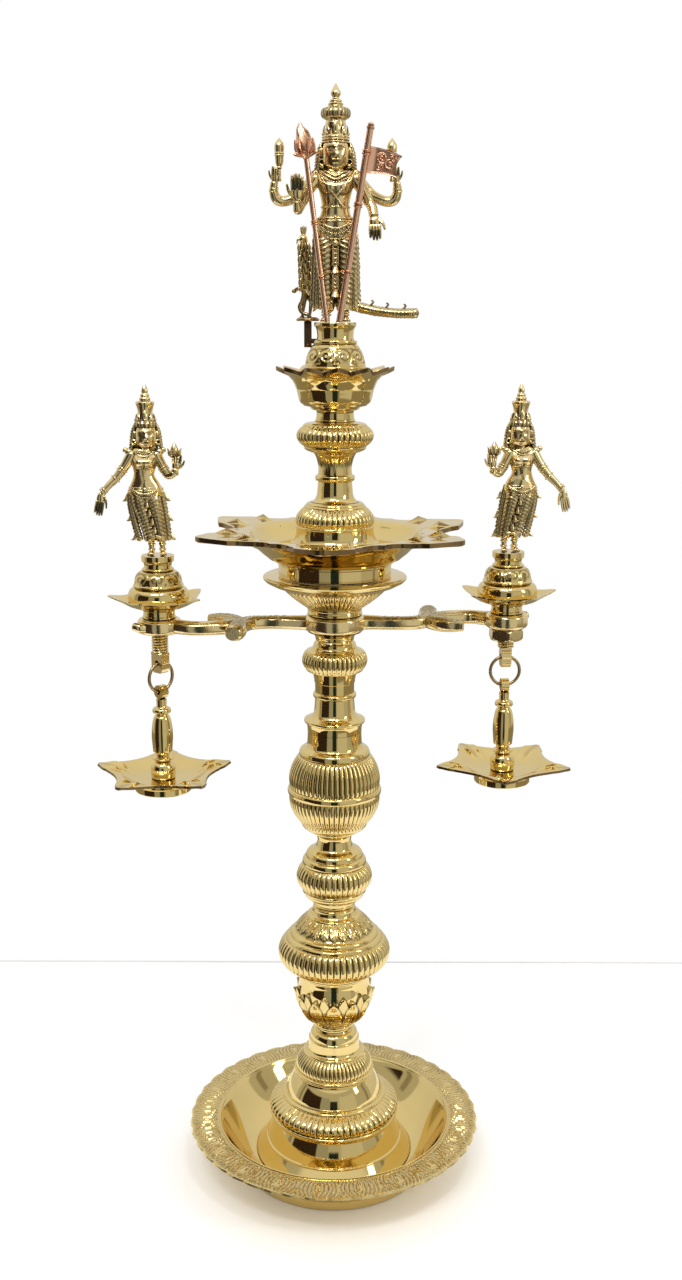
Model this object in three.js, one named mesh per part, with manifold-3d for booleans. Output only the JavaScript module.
// A tall cast brass oil lamp on a pillar: a dish foot, turned sections that plug into each
// other, a six-pointed oil pan, two side arms with small pans, standing figures and hanging
// star lamps, and a crowned four-armed figure with a spear, a banner and a peacock on top.
// Millimetres, +Z up, the front of the lamp faces -Y.
import * as THREE from "three";
import { mergeVertices } from "three/addons/utils/BufferGeometryUtils.js";
import Module from "manifold-3d";

const wasm = await Module();
wasm.setup();

// Fits. Touching pieces keep the seat gap, plugs keep the plug clearance in their sockets.
const seatGap = 0.3;
const plugClearance = 0.3;
const runningClearance = 0.9;

// Fineness of the round work, and the ribs round each gadrooned band.
const plainSides = 15;
const smallSides = 12;
const smallMoulding = 6;
const plugSides = 8;
const knopRibs = 13;
const potRibs = 15;
const bellRibs = 15;

// Plugs between the sections of the pillar.
const plug = { radius: 9, length: 10 };

// Foot dish, with its ornamental scalloped rim.
const dish = {
  footRadius: 82.3,
  footWall: 3,
  footHeight: 9,
  rimRadius: 128.4,
  rimHeight: 42,
  rimThickness: 3,
  bandWidth: 26,
  bandRise: 6,
  floorHeight: 11,
  floorRadius: 61,
  floorThickness: 4,
  wallCurve: 1.8,
  scallops: 21,
  scallopDepth: 2.6,
};

// Turned sections of the pillar, each listed from its foot up. A moulding rises by "rise" and
// ends at radius "to". A gadroon swells out to radius "out" on its way.
const pillar = {
  base_bell: {
    foot: 60,
    mouldings: [
      { kind: "cove", to: 53, rise: 33.7 },
      { kind: "line", to: 56, rise: 1.5 },
      { kind: "line", to: 56, rise: 4 },
      { kind: "gadroon", out: 56.6, to: 46.6, rise: 14.2, ribs: bellRibs },
      { kind: "line", to: 43.5, rise: 5.9 },
      { kind: "dome", to: 34, rise: 16.1 },
      { kind: "gadroon", out: 35.2, to: 26.5, rise: 17, ribs: bellRibs },
      { kind: "line", to: 24.5, rise: 4.3 },
      { kind: "cove", to: 22.3, rise: 3.9 },
      { kind: "line", to: 22, rise: 11 },
      { kind: "dome", to: 14.7, rise: 5.8 },
    ],
  },
  lotus_bud: {
    foot: 15.2,
    mouldings: [
      { kind: "flare", to: 21.3, rise: 6.5 },
      { kind: "bowl", to: 31, rise: 13 },
      { kind: "gadroon", out: 36.5, to: 35, rise: 18, ribs: 12 },
      { kind: "dome", to: 30.4, rise: 11 },
      { kind: "line", to: 31.4, rise: 5 },
    ],
  },
  bell_disc: {
    foot: 31.7,
    mouldings: [
      { kind: "flare", to: 41.5, rise: 6.2 },
      { kind: "flare", to: 46, rise: 8 },
      { kind: "gadroon", out: 48.6, to: 43.5, rise: 16.5, ribs: bellRibs },
      { kind: "line", to: 38, rise: 5.3 },
      { kind: "line", to: 35, rise: 3.2 },
      { kind: "gadroon", out: 31, to: 24, rise: 12.5, ribs: 16 },
      { kind: "cove", to: 18.3, rise: 5.5 },
      { kind: "line", to: 16.5, rise: 4.3 },
    ],
  },
  lower_knop: {
    foot: 17,
    mouldings: [
      { kind: "line", to: 18.3, rise: 5.4 },
      { kind: "bowl", to: 27, rise: 9.5 },
      { kind: "gadroon", out: 32.8, to: 28, rise: 20.5, ribs: knopRibs },
      { kind: "line", to: 26, rise: 2 },
      { kind: "bead", to: 24.7, rise: 7 },
      { kind: "dome", to: 17.3, rise: 9.5 },
      { kind: "cove", to: 13.8, rise: 6.1 },
    ],
  },
  ribbed_pot: {
    foot: 14.5,
    mouldings: [
      { kind: "flare", to: 18.6, rise: 8.7 },
      { kind: "bowl", to: 28.2, rise: 7.2 },
      { kind: "gadroon", out: 38, to: 38.4, rise: 25.4, ribs: potRibs },
      { kind: "bead", to: 37.8, rise: 6.3 },
      { kind: "gadroon", out: 38.4, to: 31, rise: 27, ribs: potRibs },
      { kind: "line", to: 29.5, rise: 2.5 },
      { kind: "line", to: 27, rise: 4.5 },
      { kind: "cove", to: 22.6, rise: 14.4 },
    ],
  },
  ringed_sleeve: {
    foot: 22.8,
    mouldings: [
      { kind: "flare", to: 24.8, rise: 8.6 },
      { kind: "line", to: 25.3, rise: 2.8 },
      { kind: "cove", to: 16.6, rise: 12 },
      { kind: "line", to: 16.4, rise: 5 },
      { kind: "bead", to: 16.5, rise: 6 },
      { kind: "line", to: 16.5, rise: 9 },
      { kind: "line", to: 18.4, rise: 8 },
    ],
  },
  upper_knop: {
    foot: 19,
    mouldings: [
      { kind: "bowl", to: 24.5, rise: 2.7 },
      { kind: "gadroon", out: 27.4, to: 24.4, rise: 14.5, ribs: knopRibs },
      { kind: "cove", to: 17.4, rise: 7 },
      { kind: "line", to: 15.4, rise: 3.3 },
      { kind: "flare", to: 22.5, rise: 6.7 },
    ],
  },
};

// Cross arm: an S-shaped casting whose hub is clamped between two sections.
const arm = {
  hubRadius: 25,
  hubHeight: 14,
  reach: 144.5,
  knee: 80,
  turnDegrees: 5,
  barWidth: 10,
  barHeight: 11,
  bevel: 2,
  bossRadius: 17.7,
  bossHeight: 12,
  rounding: 3,
};

// Bowl under the main pan, with its wide thin flange.
const gadroonBowl = {
  collarRadius: 22.6,
  collarHeight: 6.5,
  bowlRadius: 46.6,
  bowlRise: 17.5,
  flangeRadius: 59.3,
  flangeRise: 5.5,
  flangeThickness: 3.6,
  ribs: 15,
};

// Main oil pan: a round bowl whose rim is drawn out into six pointed spouts. "spout" gives the
// outline of half a spout, from its tip to the hollow between two, as shares of its reach.
const pan = {
  drumRadius: 46,
  drumHeight: 9,
  bowlRadius: 72,
  bowlRise: 21,
  rimHeight: 37,
  openingRadius: 66,
  openingDepth: 16,
  floorRadius: 42,
  edge: 2.8,
  points: 6,
  tipRadius: 118.8,
  hollowRadius: 85,
  tipLift: 2,
  spout: [1, 0.82, 0.7, 0.3, 0.08, 0, 0.06],
  turnDegrees: 25.8,
};

const upperBell = {
  foot: 37,
  mouldings: [
    { kind: "cove", to: 34.5, rise: 6 },
    { kind: "line", to: 31.2, rise: 13.5 },
    { kind: "gadroon", out: 31.6, to: 25, rise: 15, ribs: knopRibs },
    { kind: "dome", to: 19.5, rise: 4 },
  ],
};

const upperStem = {
  foot: 18.5,
  mouldings: [
    { kind: "cove", to: 14, rise: 9 },
    { kind: "line", to: 13.8, rise: 7 },
    { kind: "bead", to: 13.6, rise: 7 },
    { kind: "flare", to: 17.4, rise: 15 },
    { kind: "flare", to: 24, rise: 5 },
    { kind: "gadroon", out: 31, to: 24.5, rise: 17.5, ribs: knopRibs },
    { kind: "dome", to: 17, rise: 4.5 },
    { kind: "cove", to: 14.9, rise: 6.4 },
  ],
};

// Petalled cup and the pedestal that stands in it.
const cup = {
  footRadius: 17.5,
  bowlRadius: 29.6,
  bowlRise: 11,
  neckRadius: 32.8,
  rimRadius: 47.4,
  rimValley: 40,
  petals: 12,
  height: 35.5,
  wall: 3,
  floorRise: 21,
  rimDroop: 3,
};

const topPedestal = {
  foot: 26,
  mouldings: [
    { kind: "line", to: 25.2, rise: 17.5 },
    { kind: "dome", to: 19.5, rise: 9 },
    { kind: "cove", to: 16.7, rise: 6 },
    { kind: "line", to: 15.3, rise: 4 },
    { kind: "flare", to: 17, rise: 7 },
    { kind: "line", to: 17, rise: 5.4 },
  ],
};

// Side assemblies, one on each arm boss.
const sidePan = {
  footRadius: 13.5,
  footRise: 8,
  bowlRadius: 26,
  bowlRise: 2.2,
  rimHeight: 17,
  openingRadius: 28,
  openingDepth: 4.5,
  floorRadius: 25.5,
  edge: 1.8,
  points: 5,
  tipRadius: 41,
  hollowRadius: 31,
  tipLift: 1.8,
  spout: [1, 0.46, 0.12, 0],
  turnDegrees: 0,
};

const sidePedestal = {
  sides: smallSides,
  foot: 22.5,
  mouldings: [
    { kind: "bowl", to: 25, rise: 4.5 },
    { kind: "dome", to: 20.5, rise: 10 },
    { kind: "bead", to: 19.5, rise: 4.5 },
    { kind: "dome", to: 13.5, rise: 7 },
    { kind: "line", to: 11.6, rise: 2.2 },
    { kind: "flare", to: 13.2, rise: 4 },
    { kind: "line", to: 13.2, rise: 7 },
  ],
};
const sidePlug = { radius: 5, length: 5 };

// Eye bolt, nut and ring that carry a hanging lamp.
const bolt = {
  radius: 7.2,
  plateThickness: 8,
  plateLength: 17,
  eyeMargin: 8.5,
  threadLength: 17,
};
const boltSides = 16;
const nut = { acrossFlats: 26, height: 10.5 };
const chainRing = { wireRadius: 1.4, radius: 12.45, steps: 18, wireSides: 5 };

// Hanging star lamp: a turned handle screwed into a five-pointed dish.
const handle = {
  eyeThickness: 6.5,
  eyeHeight: 10,
  shankRadius: 4.2,
  shankLength: 5.6,
  foot: 9.5,
  mouldings: [
    { kind: "bowl", to: 10.7, rise: 6 },
    { kind: "dome", to: 4.4, rise: 10.5 },
    { kind: "line", to: 4.4, rise: 3 },
    { kind: "flare", to: 8.2, rise: 3.5 },
    { kind: "line", to: 8.9, rise: 12 },
    { kind: "dome", to: 5, rise: 22 },
    { kind: "bead", to: 5, rise: 7, swell: 2.8 },
  ],
};
const hangingDish = {
  footRadius: 23.6,
  footHeight: 7.3,
  footWall: 2.5,
  floorThickness: 2.2,
  bowlRadius: 31,
  bowlRise: 3,
  rimHeight: 16,
  openingRadius: 34,
  openingDepth: 6,
  floorRadius: 20,
  edge: 1.8,
  points: 5,
  tipRadius: 59,
  hollowRadius: 41,
  tipLift: 1.2,
  spout: [1, 0.5, 0.15, 0],
  turnDegrees: 0,
};

// Central figure, 177 mm tall: four arms, two staffs in front of it and a peacock behind.
const figureHeight = 177.3;
const spear = {
  foot: [-6, -12.4],
  lean: [-16.5, 0, 127],
  shaftRadius: 2.1,
  collarRadius: 5.2,
  headLength: 26,
  headWidth: 15,
  headThickness: 3.6,
};
const banner = {
  foot: [2.5, -12.4],
  lean: [24, 0, 148],
  shaftRadius: 2.8,
  width: 24,
  height: 19,
  thickness: 1.4,
};
const staffSocketDepth = 4;
const staffFitGap = 0.35;
const bracket = { place: [-22, 10], width: 6, depth: 5, height: 20.5, pinRadius: 2, pinLength: 7 };
const peacockBase = { radius: 9, height: 3 };

// Side figures.
const sideFigureHeight = 137;

// How far each side's pan, ring and dish are turned about the vertical, in degrees.
const sideTurn = {
  left: { pan: 180, link: 43, dish: -26 },
  right: { pan: 0, link: 0, dish: -98 },
};

const finishes = {
  brass: { color: 0xc9a34e, roughness: 0.22, metalness: 1 },
  agedBrass: { color: 0xa98a3f, roughness: 0.34, metalness: 1 },
  darkBrass: { color: 0x6b5424, roughness: 0.4, metalness: 1 },
  copper: { color: 0xc07a58, roughness: 0.32, metalness: 1 },
  bronzeBar: { color: 0x3a2416, roughness: 0.5, metalness: 0.8 },
};

const lamp = new THREE.Group();
const radians = THREE.MathUtils.degToRad;

function addPiece(parent, name, geometry, finish) {
  const mesh = new THREE.Mesh(geometry, new THREE.MeshStandardMaterial(finishes[finish]));
  mesh.name = name;
  parent.add(mesh);
  return mesh;
}

// Loops of points

// Joins two loops with triangles, walking round both at the same pace. A loop may be one point.
function stitch(a, b, triangles) {
  const stepsA = a.length > 1 ? a.length : 0;
  const stepsB = b.length > 1 ? b.length : 0;
  let i = 0;
  let j = 0;
  while (i < stepsA || j < stepsB) {
    const walkA = j === stepsB || (i < stepsA && (i + 1) / stepsA <= (j + 1) / stepsB);
    const hereA = a[i % a.length];
    const hereB = b[j % b.length];
    if (walkA) {
      i += 1;
      triangles.push(hereA, a[i % a.length], hereB);
    } else {
      j += 1;
      triangles.push(hereA, b[j % b.length], hereB);
    }
  }
}

// Skins a row of loops into one closed surface. "closed" joins the last loop to the first.
function skin(loops, closed = false) {
  const triangles = [];
  loops.slice(1).forEach((loop, k) => stitch(loops[k], loop, triangles));
  if (closed) stitch(loops[loops.length - 1], loops[0], triangles);
  const geometry = new THREE.BufferGeometry().setFromPoints(triangles);
  return mergeVertices(geometry);
}

const valueAt = (value, angle) => (typeof value === "function" ? value(angle) : value);

// One loop round the axis. Radius and height may be functions of the angle.
function ring(radius, height, sides = plainSides) {
  if (radius === 0) return [new THREE.Vector3(0, 0, height)];
  return Array.from({ length: sides }, (_, k) => {
    const angle = (2 * Math.PI * k) / sides;
    const r = valueAt(radius, angle);
    return new THREE.Vector3(r * Math.cos(angle), r * Math.sin(angle), valueAt(height, angle));
  });
}

// A radius with rounded ribs: full on each rib, drawn in between them.
const ribbed = (radius, depth, ribs) => (angle) =>
  radius - (depth * (1 - Math.cos(ribs * angle))) / 2;

// Solids

// A shape swept along a path can come out with its faces turned in, so those are turned out.
function solidFrom(geometry) {
  const bare = geometry.clone();
  bare.deleteAttribute("normal");
  bare.deleteAttribute("uv");
  const merged = mergeVertices(bare);
  const vertProperties = new Float32Array(merged.attributes.position.array);
  const triVerts = new Uint32Array(merged.index.array);
  const build = () => new wasm.Manifold(new wasm.Mesh({ numProp: 3, vertProperties, triVerts }));
  const solid = build();
  if (solid.volume() > 0) return solid;
  triVerts.reverse();
  return build();
}

function geometryFrom(solid) {
  const mesh = solid.getMesh();
  return new THREE.BufferGeometry()
    .setAttribute("position", new THREE.BufferAttribute(mesh.vertProperties, 3))
    .setIndex(new THREE.BufferAttribute(mesh.triVerts, 1));
}

const joined = (geometries) =>
  geometryFrom(geometries.map(solidFrom).reduce((whole, piece) => whole.add(piece)));

const cutBy = (geometry, tools) =>
  geometryFrom(tools.map(solidFrom).reduce((whole, tool) => whole.subtract(tool), solidFrom(geometry)));

// A round bar between two points.
function bar(from, to, radius, sides = plugSides) {
  const span = new THREE.Vector3().subVectors(to, from);
  const turn = new THREE.Quaternion().setFromUnitVectors(
    new THREE.Vector3(0, 1, 0),
    span.clone().normalize(),
  );
  return new THREE.CylinderGeometry(radius, radius, span.length(), sides)
    .applyQuaternion(turn)
    .translate(...from.clone().addScaledVector(span, 0.5).toArray());
}

function block(width, depth, height, x, y, z) {
  return new THREE.BoxGeometry(width, depth, height).translate(x, y, z);
}

// Mouldings

// Ribs are cut deeper on a wider band.
const ribDepth = (radius) => 0.8 + 0.03 * radius;

// Each moulding turns into rings between where the last one ended and its own end.
function outlineRings(foot, mouldings, startHeight, sides = plainSides) {
  const rings = [ring(foot, startHeight, sides)];
  let radius = foot;
  let height = startHeight;
  for (const { kind, to, rise, out, ribs, swell } of mouldings) {
    const quarter = (share) => (share * Math.PI) / 2;
    const quarterSteps = rise < smallMoulding ? 1 : 2;
    const steps = { line: 1, bead: 2, gadroon: 3 }[kind] ?? quarterSteps;
    for (let k = 1; k <= steps; k += 1) {
      const share = k / steps;
      const angle = quarter(share);
      let r = radius + (to - radius) * share;
      let z = height + rise * share;
      if (kind === "flare" || kind === "dome") {
        r = radius + (to - radius) * (1 - Math.cos(angle));
        z = height + rise * Math.sin(angle);
      }
      if (kind === "bowl" || kind === "cove") {
        r = radius + (to - radius) * Math.sin(angle);
        z = height + rise * (1 - Math.cos(angle));
      }
      if (kind === "bead") {
        r += (swell ?? rise / 2.6) * Math.sin(2 * angle);
        z = height + (rise * (1 - Math.cos(2 * angle))) / 2;
      }
      if (kind === "gadroon" && k < steps) {
        const swelling = Math.sin(Math.PI * share);
        const crest = r + (out - (radius + to) / 2) * swelling;
        rings.push(ring(ribbed(crest, ribDepth(crest) * swelling, ribs), z, 2 * ribs));
        continue;
      }
      rings.push(ring(r, z, sides));
    }
    radius = to;
    height += rise;
  }
  return { rings, radius, height };
}

// A socket is wide enough for its plug at any turn, so its flats keep the clearance.
const socketRadius = (radius, sides = plugSides) =>
  (radius + plugClearance) / Math.cos(Math.PI / sides);

const socketRings = (foot, { radius, length }, sides = plugSides) => [
  ring(0, foot + length + plugClearance),
  ring(socketRadius(radius, sides), foot + length + plugClearance, sides),
  ring(socketRadius(radius, sides), foot, sides),
];

const plugRings = (floor, { radius, length }) => [
  ring(radius, floor, plugSides),
  ring(radius, floor + length, plugSides),
  ring(0, floor + length),
];

// A turned section with a socket for the plug below it and, if asked, a plug on top.
function turnedSection(section, footHeight, socket = plug, topPlug = plug) {
  const { foot, mouldings, sides } = section;
  const { rings, height } = outlineRings(foot, mouldings, footHeight, sides);
  const stud = topPlug ? plugRings(height, topPlug) : [ring(0, height)];
  return { geometry: skin([...socketRings(footHeight, socket), ...rings, ...stud]), top: height };
}

// Foot dish

function footDish() {
  const { footRadius, footWall, footHeight, rimRadius, rimHeight, floorHeight } = dish;
  const underside = floorHeight - dish.floorThickness;
  const inner = rimRadius - dish.bandWidth;
  const bandTop = rimHeight + dish.bandRise;
  const sides = dish.scallops;
  const wallRise = bandTop - dish.rimThickness - floorHeight;
  const wallRun = inner - dish.floorRadius;
  const wall = [0.35, 0.7, 1].map((share) =>
    ring(dish.floorRadius + wallRun * share, floorHeight + wallRise * share ** dish.wallCurve, sides),
  );
  const edge = (radius) => ribbed(radius, dish.scallopDepth, dish.scallops);
  return skin([
    ring(0, underside),
    ring(footRadius - footWall, underside, sides),
    ring(footRadius - footWall, 0, sides),
    ring(footRadius, 0, sides),
    ring(footRadius + 1, footHeight, sides),
    ring(inner + 2, rimHeight - dish.rimThickness, sides),
    ring(edge(rimRadius - 2), rimHeight - dish.rimThickness, 2 * sides),
    ring(edge(rimRadius), rimHeight, 2 * sides),
    ring(inner + dish.bandWidth / 2, bandTop - 1, 2 * sides),
    ring(inner, bandTop, sides),
    ...wall.reverse(),
    ring(dish.floorRadius, floorHeight, sides),
    ...plugRings(floorHeight, plug),
  ]);
}

// Star pans

// The plan outline of a star, from the outline of half a spout.
function starRadius({ points, tipRadius, hollowRadius, spout, turnDegrees }) {
  const halfSpout = Math.PI / points;
  const turn = radians(turnDegrees);
  return (angle) => {
    const fromTip = Math.abs(((angle - turn) / halfSpout + 101) % 2 - 1);
    const place = Math.min(fromTip * (spout.length - 1), spout.length - 1);
    const low = Math.floor(place);
    const high = Math.min(low + 1, spout.length - 1);
    const reach = spout[low] + (spout[high] - spout[low]) * (place - low);
    return hollowRadius + (tipRadius - hollowRadius) * reach;
  };
}

// The rings of a star pan above its foot: underside, star-shaped edge, bowl and floor.
function starRings(size, bottomRadius, bottom, foot) {
  const sides = size.points * 2 * (size.spout.length - 1);
  const plan = starRadius(size);
  const lift = (angle) =>
    (size.tipLift * (plan(angle) - size.hollowRadius)) / (size.tipRadius - size.hollowRadius);
  const rim = foot + size.rimHeight;
  const half = sides / 2;
  const floor = rim - size.openingDepth;
  return {
    floor,
    rings: [
      ring(bottomRadius, bottom, half),
      ring(size.bowlRadius, bottom + size.bowlRise, half),
      ring(plan, (angle) => rim - size.edge + lift(angle), sides),
      ring(plan, (angle) => rim + lift(angle), sides),
      ring(size.openingRadius, rim - 1, half),
      ring((size.openingRadius + size.floorRadius) / 2, floor + size.openingDepth * 0.35, half),
      ring(size.floorRadius, floor, half),
    ],
  };
}

// Pillar, from the dish up

addPiece(lamp, "base_dish", footDish(), "brass");
let pillarTop = dish.floorHeight;
for (const [name, section] of Object.entries(pillar)) {
  const { geometry, top } = turnedSection(section, pillarTop + seatGap);
  addPiece(lamp, name, geometry, "brass");
  pillarTop = top;
}

// The arm's hub sits round the plug of the section below. The plug above it is the arm's own.
const armFoot = pillarTop + seatGap;
const armMiddle = armFoot + arm.hubHeight / 2;
const armTop = armFoot + arm.hubHeight;

// A bar of the arm with bevelled edges. Each station on its way is x, y and width.
function armBar(stations) {
  const halfHeight = arm.barHeight / 2;
  const centres = stations.map(([x, y]) => new THREE.Vector3(x, y, armMiddle));
  const loops = stations.map(([, , width], k) => {
    const before = centres[Math.max(k - 1, 0)];
    const after = centres[Math.min(k + 1, centres.length - 1)];
    const along = new THREE.Vector3().subVectors(after, before).normalize();
    const across = new THREE.Vector3(-along.y, along.x, 0);
    const corners = [
      [width / 2, halfHeight - arm.bevel],
      [width / 2 - arm.bevel, halfHeight],
      [arm.bevel - width / 2, halfHeight],
      [-width / 2, halfHeight - arm.bevel],
      [-width / 2, arm.bevel - halfHeight],
      [arm.bevel - width / 2, -halfHeight],
      [width / 2 - arm.bevel, -halfHeight],
      [width / 2, arm.bevel - halfHeight],
    ];
    return corners.map(([u, v]) =>
      centres[k].clone().addScaledVector(across, u).add(new THREE.Vector3(0, 0, v)),
    );
  });
  return skin([[centres[0]], ...loops, [centres[centres.length - 1]]]);
}

// The outside of the hub or of a boss, with its edges eased.
const roundedRings = (radius, foot, top) => [
  ring(radius - arm.rounding, foot),
  ring(radius, foot + arm.rounding),
  ring(radius, top - arm.rounding),
  ring(radius - arm.rounding, top),
];

function crossArm() {
  const { hubRadius, knee, reach, bossRadius, bossHeight, barWidth } = arm;
  const hub = skin([
    ...socketRings(armFoot, plug),
    ...roundedRings(hubRadius, armFoot, armTop),
    ...plugRings(armTop, plug),
  ]);
  const pieces = [hub];
  const bores = [];
  const outerStart = reach - bossRadius + 6;
  const outerSpan = outerStart - knee;
  for (const side of [1, -1]) {
    const at = ([x, y, width]) => [side * x, side * y, width];
    const innerBar = [
      [hubRadius - 6, 0, barWidth],
      [46, -5, barWidth],
      [knee - 9, -3, barWidth],
      [knee, 12, barWidth],
      [knee + 1, 34, barWidth + 2],
    ];
    const outerBar = [
      [knee + 22, -20, barWidth / 2],
      [knee + 11, -13, barWidth],
      [knee, 0, barWidth],
      [knee + outerSpan * 0.24, 13, barWidth],
      [knee + outerSpan * 0.6, 14, barWidth],
      [outerStart, 3, barWidth],
    ];
    pieces.push(armBar(innerBar.map(at)), armBar(outerBar.map(at)));
    const bossFoot = armMiddle - bossHeight / 2;
    const boss = skin([
      ring(0, bossFoot),
      ...roundedRings(bossRadius, bossFoot, bossFoot + bossHeight),
      ring(0, bossFoot + bossHeight),
    ]);
    pieces.push(boss.translate(side * reach, 0, 0));
    const centre = new THREE.Vector3(side * reach, 0, armMiddle);
    const rise = new THREE.Vector3(0, 0, bossHeight);
    const bore = socketRadius(bolt.radius, boltSides);
    bores.push(bar(centre.clone().sub(rise), centre.clone().add(rise), bore, boltSides));
  }
  return cutBy(joined(pieces), bores);
}

const armGroup = new THREE.Group();
armGroup.rotation.z = radians(arm.turnDegrees);
lamp.add(armGroup);
addPiece(armGroup, "cross_arm", crossArm(), "brass");

// Gadrooned bowl and flange

function bowlWithFlange(foot) {
  const size = gadroonBowl;
  const bowlFoot = foot + size.collarHeight;
  const bowlTop = bowlFoot + size.bowlRise;
  const bowl = [0.35, 0.75].map((share) => {
    const radius = size.collarRadius + (size.bowlRadius - size.collarRadius) * share;
    const crest = ribbed(radius, ribDepth(radius), size.ribs);
    return ring(crest, bowlFoot + size.bowlRise * share, 2 * size.ribs);
  });
  const flangeFoot = bowlTop + size.flangeRise;
  const flangeTop = flangeFoot + size.flangeThickness;
  return {
    top: flangeTop,
    geometry: skin([
      ...socketRings(foot, plug),
      ring(size.collarRadius, foot),
      ring(size.collarRadius + 1.2, foot + size.collarHeight / 2),
      ring(size.collarRadius, bowlFoot),
      ...bowl,
      ring(size.bowlRadius, bowlTop),
      ring(size.flangeRadius - 2, flangeFoot, 48),
      ring(size.flangeRadius, flangeFoot + size.flangeThickness / 2, 48),
      ring(size.flangeRadius - 1, flangeTop, 48),
      ...plugRings(flangeTop, plug),
    ]),
  };
}

const bowl = bowlWithFlange(armTop + seatGap);
addPiece(lamp, "gadroon_bowl", bowl.geometry, "brass");

const panFoot = bowl.top + seatGap;
const panRings = starRings(pan, pan.drumRadius, panFoot + pan.drumHeight, panFoot);
const mainPan = skin([
  ...socketRings(panFoot, plug),
  ring(pan.drumRadius, panFoot, 36),
  ...panRings.rings,
  ...plugRings(panRings.floor, plug),
]);
addPiece(lamp, "main_pan", mainPan, "brass");

const bellPiece = turnedSection(upperBell, panRings.floor + seatGap);
addPiece(lamp, "upper_bell", bellPiece.geometry, "brass");
const stemPiece = turnedSection(upperStem, bellPiece.top + seatGap);
addPiece(lamp, "upper_stem", stemPiece.geometry, "brass");

// Petalled cup

function petalCup(foot) {
  const { petals, rimRadius, rimValley, neckRadius, wall } = cup;
  const sides = 4 * petals;
  const half = sides / 2;
  const petal = (angle) => (1 + Math.cos(petals * angle)) / 2;
  const rim = foot + cup.height;
  const neck = foot + cup.bowlRise + 10;
  const floor = foot + cup.floorRise;
  const outer = (angle) => rimValley + (rimRadius - rimValley) * petal(angle);
  return {
    floor,
    geometry: skin([
      ...socketRings(foot, plug),
      ring(cup.footRadius, foot, half),
      ring(cup.footRadius + 8, foot + 6, half),
      ring(cup.bowlRadius, foot + cup.bowlRise, half),
      ring(neckRadius, neck, half),
      ring((angle) => outer(angle) - 1, (angle) => rim - wall - cup.rimDroop * (1 - petal(angle)), sides),
      ring(outer, (angle) => rim - cup.rimDroop * (1 - petal(angle)), sides),
      ring(neckRadius - wall, neck + 1, half),
      ring(cup.bowlRadius - wall, floor, half),
      ...plugRings(floor, plug),
    ]),
  };
}

const cupPiece = petalCup(stemPiece.top + seatGap);
addPiece(lamp, "top_cup", cupPiece.geometry, "brass");

// Figure modelling

// A limb: round loops square to its path, each station being x, y, z and radius.
function limb(stations, sides = 5) {
  const centres = stations.map(([x, y, z]) => new THREE.Vector3(x, y, z));
  const loops = stations.map(([, , , radius], k) => {
    const before = centres[Math.max(k - 1, 0)];
    const after = centres[Math.min(k + 1, centres.length - 1)];
    const along = new THREE.Vector3().subVectors(after, before).normalize();
    const turn = new THREE.Quaternion().setFromUnitVectors(new THREE.Vector3(0, 0, 1), along);
    return ring(radius, 0, sides).map((point) => point.applyQuaternion(turn).add(centres[k]));
  });
  return skin([[centres[0]], ...loops, [centres[centres.length - 1]]]);
}

// A standing form with oval loops, each station being height, half width, half depth and the
// place of its middle.
function standing(stations, sides = 8) {
  const loops = stations.map(([height, width, depth, x = 0, y = 0]) =>
    ring(1, height, sides).map((p) => new THREE.Vector3(x + p.x * width, y + p.y * depth, height)),
  );
  const cap = ([height, , , x = 0, y = 0]) => [new THREE.Vector3(x, y, height)];
  return skin([cap(stations[0]), ...loops, cap(stations[stations.length - 1])]);
}

function ball(x, y, z, width, depth, height, across = 6, down = 4) {
  return new THREE.SphereGeometry(1, across, down)
    .rotateX(Math.PI / 2)
    .scale(width, depth, height)
    .translate(x, y, z);
}

// The tall tiered crown with its finial, over a head whose middle is at the given height.
const crown = (x, base, width, height) =>
  standing(
    [
      [base, width, width, x],
      [base + height * 0.14, width * 1.08, width * 1.08, x],
      [base + height * 0.3, width * 0.98, width * 0.98, x],
      [base + height * 0.44, width * 1.36, width * 1.36, x],
      [base + height * 0.54, width * 1.22, width * 1.22, x],
      [base + height * 0.62, width * 0.7, width * 0.7, x],
      [base + height * 0.76, width * 0.34, width * 0.34, x],
      [base + height * 0.84, width * 0.42, width * 0.42, x],
      [base + height, width * 0.06, width * 0.06, x],
    ],
    7,
  );

const mirrored = (stations) => stations.map(([x, ...rest]) => [-x, ...rest]);

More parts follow.
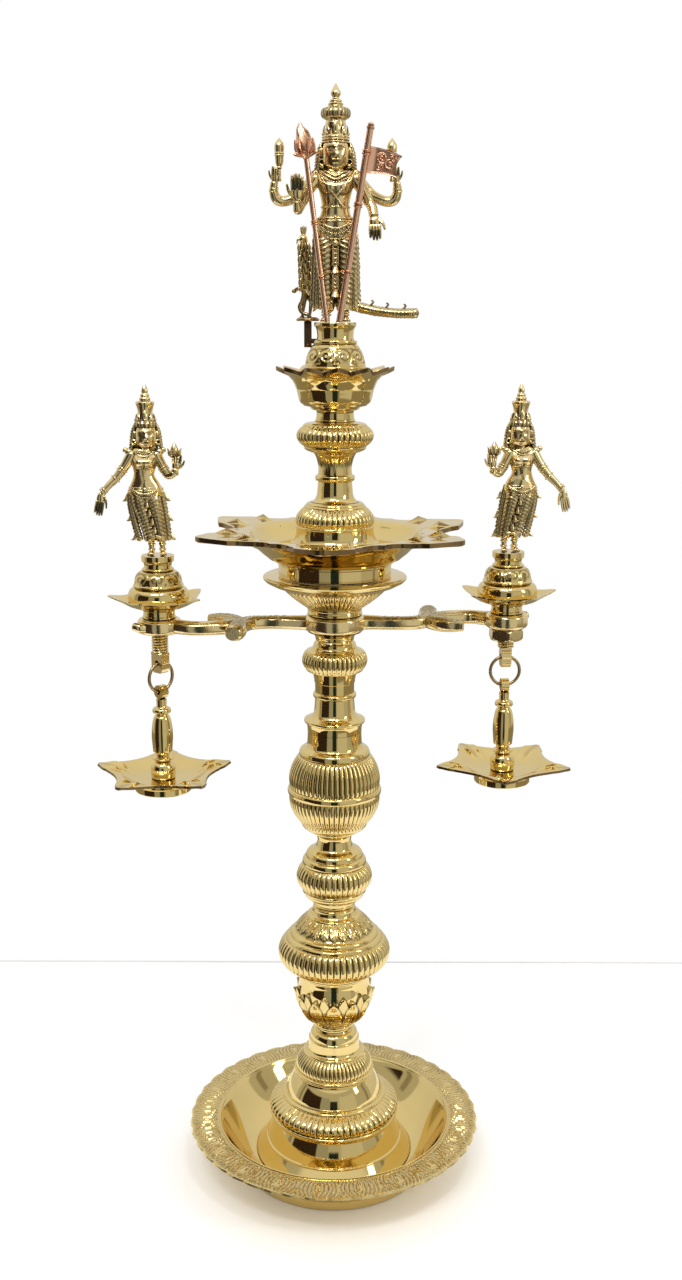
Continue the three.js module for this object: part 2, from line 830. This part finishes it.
function centralFigure() {
  const thigh = [
    [3, 6, 6.5, 7.5, 0.5],
    [12, 7.5, 7, 8, 0.5],
    [46, 7.2, 7, 8.6, 0.5],
    [70, 9, 7.4, 8.6, 0.5],
    [78, 8.5, 6.8, 7, 0.5],
  ];
  const backArm = [
    [14, 2, 110, 5],
    [27, 5, 98, 3.8],
    [47, 4, 91, 3.2],
    [48, 1, 100, 3],
    [44.5, -1, 109, 3.2],
  ];
  const sash = [
    [15, 1, 70, 4],
    [18.5, 1.5, 45, 3.2],
    [21, 1.5, 18, 3.2],
    [20, 1.5, 9, 2.2],
  ];
  return joined([
    ball(-7.5, -2.2, 3.4, 5, 7.4, 3.4),
    ball(7.5, -2.2, 3.4, 5, 7.4, 3.4),
    standing(thigh, 8),
    standing(thigh.map(([z, w, d, x, y]) => [z, w, d, -x, y]), 8),
    standing([
      [62, 15, 7.6, 0, 0.5],
      [72, 18.5, 8, 0, 0.5],
      [80, 15, 7.8],
      [89, 10.5, 7],
      [103, 14.5, 8],
      [111, 19.5, 6.5],
      [116, 12, 5.5],
      [119, 5, 4.8],
      [124, 5, 4.8],
    ]),
    limb([[0, -6, 74, 3.4], [0, -7, 45, 3], [0, -6.6, 14, 3.4]]),
    ball(0, -0.5, 128, 8.6, 8.8, 12, 8, 6),
    crown(0, 135, 9.4, figureHeight - 135),
    ball(-10.5, 2, 124, 4, 5, 9.5),
    ball(10.5, 2, 124, 4, 5, 9.5),
    limb(sash),
    limb(mirrored(sash)),
    limb(backArm),
    limb(mirrored(backArm)),
    ball(-45, -2, 109, 4, 4.4, 5.5),
    ball(45, -2, 109, 4, 4.4, 5.5),
    limb([[-45, -1.5, 108, 2.2], [-45, -1.5, 124, 3.4], [-44.5, -1.5, 133, 3.8], [-44, -1.5, 139, 1]]),
    limb([[45, -1.5, 108, 2.2], [45, -0.5, 124, 3.4], [44.5, -0.5, 131, 3.6], [44, -0.5, 137, 1]]),
    limb([[-17, 0, 110, 5], [-25, -2, 94, 4], [-29.5, -5, 80, 3.6], [-29.5, -9, 90, 3.2]]),
    ball(-29.5, -9.5, 97, 4.6, 2.6, 8.5),
    limb([[17, 0, 110, 5], [23, -2, 96, 4], [27, -5, 84, 3.6], [29, -9, 77, 3.2]]),
    ball(30, -10, 70, 4.4, 2.8, 8.5),
  ]);
}

// Staffs. Each leans along its own line and stands in a socket bored along that line.
const point = ([x, y], z) => new THREE.Vector3(x, y, z);
const along = (staff, share) => new THREE.Vector3(...staff.lean).multiplyScalar(share);

// A bar that follows a staff's line between two shares of its length.
function staffBar(staff, foot, fromShare, toShare, radius, sides) {
  const start = point(staff.foot, foot);
  const from = start.clone().add(along(staff, fromShare));
  const to = start.clone().add(along(staff, toShare));
  return bar(from, to, radius, sides);
}

// The turn that takes +Z to a staff's line.
const leaning = (staff) =>
  new THREE.Quaternion().setFromUnitVectors(
    new THREE.Vector3(0, 0, 1),
    new THREE.Vector3(...staff.lean).normalize(),
  );

function spearPiece(foot) {
  const start = point(spear.foot, foot);
  const reach = new THREE.Vector3(...spear.lean).length();
  const half = spear.headWidth / 2;
  const leaf = new THREE.Shape();
  leaf.moveTo(-half * 0.7, 0);
  leaf.quadraticCurveTo(-half * 1.3, spear.headLength * 0.3, -half * 0.55, spear.headLength * 0.5);
  leaf.quadraticCurveTo(-half * 0.2, spear.headLength * 0.7, 0, spear.headLength);
  leaf.quadraticCurveTo(half * 0.2, spear.headLength * 0.7, half * 0.55, spear.headLength * 0.5);
  leaf.quadraticCurveTo(half * 1.3, spear.headLength * 0.3, half * 0.7, 0);
  const blade = new THREE.ExtrudeGeometry(leaf, {
    depth: spear.headThickness,
    bevelEnabled: false,
    curveSegments: 2,
  })
    .translate(0, 0, -spear.headThickness / 2)
    .rotateX(Math.PI / 2)
    .translate(0, 0, reach)
    .applyQuaternion(leaning(spear))
    .translate(...start.toArray());
  return joined([
    staffBar(spear, foot, 0, 1.02, spear.shaftRadius, 7),
    staffBar(spear, foot, 0.985, 1.01, spear.collarRadius, 8),
    ...[0.3, 0.7].map((share) =>
      staffBar(spear, foot, share, share + 0.02, spear.shaftRadius + 0.7, 7),
    ),
    blade,
  ]);
}

function bannerPiece(foot) {
  const start = point(banner.foot, foot);
  const reach = new THREE.Vector3(...banner.lean).length();
  const cloth = new THREE.Shape();
  cloth.moveTo(0, 0);
  cloth.quadraticCurveTo(banner.width * 0.5, -2, banner.width, 3);
  cloth.lineTo(banner.width + 1.5, banner.height * 0.55);
  cloth.lineTo(banner.width, banner.height);
  cloth.quadraticCurveTo(banner.width * 0.5, banner.height - 5, 0, banner.height);
  const flag = new THREE.ExtrudeGeometry(cloth, {
    depth: banner.thickness,
    bevelEnabled: false,
    curveSegments: 4,
  })
    .translate(0, 0, -banner.thickness / 2)
    .rotateX(Math.PI / 2)
    .translate(banner.shaftRadius - 0.8, 0, reach - banner.height - 14)
    .applyQuaternion(leaning(banner))
    .translate(...start.toArray());
  return joined([
    staffBar(banner, foot, 0, 1, banner.shaftRadius, 8),
    ...[0.28, 0.62, 0.9].map((share) =>
      staffBar(banner, foot, share, share + 0.02, banner.shaftRadius + 0.7, 8),
    ),
    flag,
  ]);
}

// The peacock stands on a small disc behind the figure, its tail swept round to the right.
function peacock(base) {
  const { radius, height } = peacockBase;
  const [x, y] = bracket.place;
  const top = base + height;
  const pinHole = bar(
    new THREE.Vector3(x, y, base - 1),
    new THREE.Vector3(x, y, base + 2),
    socketRadius(bracket.pinRadius),
  );
  return cutBy(
    joined([
      new THREE.CylinderGeometry(radius, radius, height, 14)
        .rotateX(Math.PI / 2)
        .translate(x, y, base + height / 2),
      limb([[x - 3, y + 1, top - 0.7, 1.6], [x - 4, y + 2, top + 16, 1.8], [x - 4, y + 3, top + 24, 3]]),
      limb([[x + 3, y + 1, top - 0.7, 1.6], [x, y + 2, top + 16, 1.8], [x - 1, y + 4, top + 22, 3]]),
      limb([
        [x - 8, y - 3.5, top + 64, 1.8],
        [x - 7.5, y - 3.5, top + 61, 3.2],
        [x - 7, y - 3, top + 54, 2.6],
        [x - 5, y + 1, top + 38, 6],
        [x - 2, y + 5, top + 25, 6],
        [x + 7, y + 9, top + 15, 4.8],
        [x + 24, y + 11, top + 12.5, 4],
        [x + 44, y + 10, top + 9, 4.2],
        [x + 68, y + 8, top + 2, 4],
        [x + 90, y + 7, top, 3.2],
      ], 7),
      limb([
        [x - 7.5, y - 3.2, top + 62.5, 1.1],
        [x - 6, y - 3, top + 68, 2],
        [x - 6, y - 3, top + 72, 0.8],
      ]),
      limb([
        [x - 5, y - 3.2, top - 0.7, 1.7],
        [x - 5, y - 4.6, top + 7, 1.6],
        [x - 8, y - 5, top + 13, 1.8],
        [x - 11, y - 5, top + 15, 1.6],
      ]),
    ]),
    [pinHole],
  );
}

// Top group: pedestal, bracket, figure, staffs and peacock

const pedestalFoot = cupPiece.floor + seatGap;
const pedestalPiece = turnedSection(topPedestal, pedestalFoot, plug, null);
const figureFoot = pedestalPiece.top + seatGap;
const staffFoot = pedestalPiece.top - staffSocketDepth;
const bracketTop = figureFoot + 0.6;
const bracketFoot = bracketTop - bracket.height;
const bracketPinHeight = bracketFoot + 5;

// The bracket's pin points at the pillar's axis.
function bracketPin(extra) {
  const [x, y] = bracket.place;
  const inward = new THREE.Vector3(-x, -y, 0).normalize();
  const start = new THREE.Vector3(x, y, bracketPinHeight);
  const depth = bracket.pinLength + 2 + extra;
  return bar(start, start.clone().addScaledVector(inward, depth), bracket.pinRadius + extra, 8);
}

const socketsInTop = [spear, banner].map((staff) =>
  staffBar(staff, staffFoot - staffFitGap, 0, 0.2, staff.shaftRadius + staffFitGap, 8),
);
addPiece(
  lamp,
  "figure_pedestal",
  cutBy(pedestalPiece.geometry, [...socketsInTop, bracketPin(plugClearance)]),
  "brass",
);
addPiece(
  lamp,
  "peacock_bracket",
  joined([
    block(
      bracket.width,
      bracket.depth,
      bracket.height,
      bracket.place[0],
      bracket.place[1],
      bracketFoot + bracket.height / 2,
    ),
    bar(
      new THREE.Vector3(...bracket.place, bracketTop - 1),
      new THREE.Vector3(...bracket.place, bracketTop + 1.9),
      bracket.pinRadius,
    ),
    bracketPin(0),
  ]),
  "bronzeBar",
);
addPiece(lamp, "central_figure", centralFigure().translate(0, 0, figureFoot), "agedBrass");
addPiece(lamp, "spear", spearPiece(staffFoot), "copper");
addPiece(lamp, "banner", bannerPiece(staffFoot), "copper");
addPiece(lamp, "peacock", peacock(bracketTop + seatGap), "agedBrass");

// Side figures: a standing attendant with one arm hanging and a bud in the raised hand. The
// hanging arm is on the +X side.
function sideFigure() {
  return joined([
    ball(-3.6, -2.5, 3, 3.4, 7, 3),
    ball(4.4, -2.5, 3, 3.4, 7, 3),
    limb([[-3.6, 0, 3, 3], [-3.4, 0, 16, 3.2]], 4),
    limb([[4.4, 0, 3, 3], [4.4, 0, 16, 3.2]], 4),
    standing([
      [12, 11, 5.6, 0.5, 0],
      [18, 9.6, 5.6, 0.4, 0],
      [34, 9.4, 6.2, 0.2, 0],
      [50, 12.4, 6.8, 1, 0],
      [56, 12.6, 6.6, 1.4, 0],
      [66, 6.6, 5, 2.4, 0],
      [75, 9.6, 6, 2.6, -0.6],
      [83, 13, 4.6, 2.8, 0],
      [87, 4, 3.8, 2.8, 0],
      [92, 3.8, 3.6, 2.8, 0],
    ]),
    ball(2.8, -0.4, 97.5, 7, 7, 9, 8, 6),
    crown(2.8, 102.5, 6.4, sideFigureHeight - 102.5),
    ball(-4.4, 1.6, 95, 3, 4, 6.5),
    ball(10, 1.6, 95, 3, 4, 6.5),
    limb([[12.5, 0, 81, 3.4], [26, -1, 64, 2.4], [39, -4, 48, 2], [41, -4, 34, 1]]),
    limb([[-7, 0, 81, 3.4], [-14.5, -2, 64, 2.5], [-18.5, -7, 69, 2.2]]),
    ball(-19.5, -7.5, 72.5, 3.2, 2.6, 4.4),
    limb([[-19.5, -7.5, 72, 1.2], [-19, -7.5, 80, 1.4], [-18.5, -7.5, 86, 3], [-18.5, -7.5, 92, 0.6]]),
    limb([[-11, 2, 54, 3], [-16, 2.5, 20, 2.4]]),
    limb([[13, 2, 54, 3], [17.5, 2.5, 20, 2.4]]),
  ]);
}

// Eye bolt: a threaded shank whose lower end is forged flat and bored for the ring. The bore
// runs along X.
const bossTop = armMiddle + arm.bossHeight / 2;
const bossFoot = armMiddle - arm.bossHeight / 2;
const sidePanFoot = bossTop + seatGap;
const boltTop = sidePanFoot + sidePan.footRise - 2.4;
const plateTop = bossFoot - bolt.threadLength;
const eyeHeight = plateTop - bolt.plateLength + bolt.eyeMargin;
const eyeBore = chainRing.wireRadius + runningClearance;

function eyeBolt() {
  const plateFoot = plateTop - bolt.plateLength;
  const plate = new THREE.CylinderGeometry(bolt.radius, bolt.radius, bolt.plateLength + 2, boltSides)
    .rotateX(Math.PI / 2)
    .translate(0, 0, plateFoot + bolt.plateLength / 2 + 1);
  const slab = block(
    bolt.plateThickness,
    2 * bolt.radius + 2,
    bolt.plateLength + 4,
    0,
    0,
    plateFoot + bolt.plateLength / 2,
  );
  const flattened = geometryFrom(solidFrom(plate).intersect(solidFrom(slab)));
  const shankFoot = new THREE.Vector3(0, 0, plateTop);
  const shank = bar(shankFoot, new THREE.Vector3(0, 0, boltTop), bolt.radius, boltSides);
  const reach = bolt.plateThickness;
  const eye = bar(
    new THREE.Vector3(-reach, 0, eyeHeight),
    new THREE.Vector3(reach, 0, eyeHeight),
    eyeBore,
    10,
  );
  return cutBy(joined([flattened, shank]), [eye]);
}

// A closed wire ring in the XZ plane, hanging from the eye.
function wireRing() {
  const { radius, wireRadius, steps, wireSides } = chainRing;
  return new THREE.TorusGeometry(radius, wireRadius, wireSides, steps)
    .rotateX(Math.PI / 2)
    .translate(0, 0, eyeHeight - radius);
}

function hexNut() {
  const top = bossFoot - seatGap;
  const corner = nut.acrossFlats / 2 / Math.cos(Math.PI / 6);
  const bore = socketRadius(bolt.radius, 12);
  const bevel = 1.5;
  return skin(
    [
      ring(bore, top - nut.height, 12),
      ring(corner - bevel, top - nut.height, 12),
      ring(corner - bevel / 2, top - nut.height + bevel, 6),
      ring(corner, top - bevel, 6),
      ring(corner - bevel, top, 12),
      ring(bore, top, 12),
    ],
    true,
  );
}

// Hanging lamp: the handle's eye goes round the ring's lowest point.
const lampEyeHeight = eyeHeight - 2 * chainRing.radius;
const handleTop = lampEyeHeight - handle.eyeHeight / 2;
const handleRise = handle.mouldings.reduce((sum, moulding) => sum + moulding.rise, 0);
const handleFoot = handleTop - handle.shankLength - handleRise;
const tang = { radius: 4, length: 3.4 };

function lampHandle() {
  const { rings, radius, height } = outlineRings(handle.foot, handle.mouldings, handleFoot, plugSides);
  const body = skin([
    ring(0, handleFoot - tang.length),
    ring(tang.radius, handleFoot - tang.length, plugSides),
    ring(tang.radius, handleFoot, plugSides),
    ...rings,
    ring(Math.min(radius, handle.shankRadius), height, plugSides),
    ring(handle.shankRadius, handleTop + 2, plugSides),
    ring(0, handleTop + 2),
  ]);
  const eyeRadius = handle.eyeHeight / 2 + 0.6;
  const eye = new THREE.CylinderGeometry(eyeRadius, eyeRadius, handle.eyeThickness, 14)
    .rotateZ(Math.PI / 2)
    .translate(0, 0, lampEyeHeight);
  const bore = bar(
    new THREE.Vector3(-handle.eyeThickness, 0, lampEyeHeight),
    new THREE.Vector3(handle.eyeThickness, 0, lampEyeHeight),
    eyeBore,
    10,
  );
  return cutBy(joined([body, eye]), [bore]);
}

function starDish() {
  const size = hangingDish;
  const floor = handleFoot - seatGap;
  const underside = floor - size.floorThickness;
  const foot = floor + size.openingDepth - size.rimHeight;
  const { rings } = starRings(size, size.footRadius + 0.6, underside, foot);
  const sides = size.points * (size.spout.length - 1);
  const hole = socketRadius(tang.radius);
  return skin(
    [
      ring(hole, underside, plugSides),
      ring(size.footRadius - size.footWall, underside, sides),
      ring(size.footRadius - size.footWall, foot, sides),
      ring(size.footRadius, foot, sides),
      ...rings,
      ring(hole, floor, plugSides),
    ],
    true,
  );
}

function sidePanPiece() {
  const foot = sidePanFoot;
  const boltSocket = { radius: bolt.radius, length: boltTop - foot };
  const { rings, floor } = starRings(sidePan, sidePan.footRadius + 1, foot + sidePan.footRise, foot);
  return {
    floor,
    geometry: skin([
      ...socketRings(foot, boltSocket, boltSides),
      ring(sidePan.footRadius, foot),
      ...rings,
      ...plugRings(floor, sidePlug),
    ]),
  };
}

for (const [name, side] of [["left", -1], ["right", 1]]) {
  const place = new THREE.Group();
  place.position.set(side * arm.reach, 0, 0);
  armGroup.add(place);
  const panPiece = sidePanPiece();
  addPiece(place, name + "_side_pan", panPiece.geometry.rotateZ(radians(sideTurn[name].pan)), "brass");
  const pedestal = turnedSection(sidePedestal, panPiece.floor + seatGap, sidePlug, null);
  addPiece(place, name + "_pedestal", pedestal.geometry, "brass");
  const figure = sideFigure();
  if (side < 0) figure.scale(-1, 1, 1).index.array.reverse();
  figure.translate(0, 0, pedestal.top + seatGap);
  addPiece(place, name + "_figure", figure, "agedBrass");
  const link = new THREE.Group();
  link.rotation.z = radians(sideTurn[name].link);
  place.add(link);
  addPiece(link, name + "_eye_bolt", eyeBolt(), "agedBrass");
  addPiece(link, name + "_ring", wireRing(), "darkBrass");
  addPiece(link, name + "_lamp_handle", lampHandle(), "brass");
  addPiece(link, name + "_star_dish", starDish().rotateZ(radians(sideTurn[name].dish)), "brass");
  if (name === "right") addPiece(place, "right_nut", hexNut(), "agedBrass");
}

export default lamp;
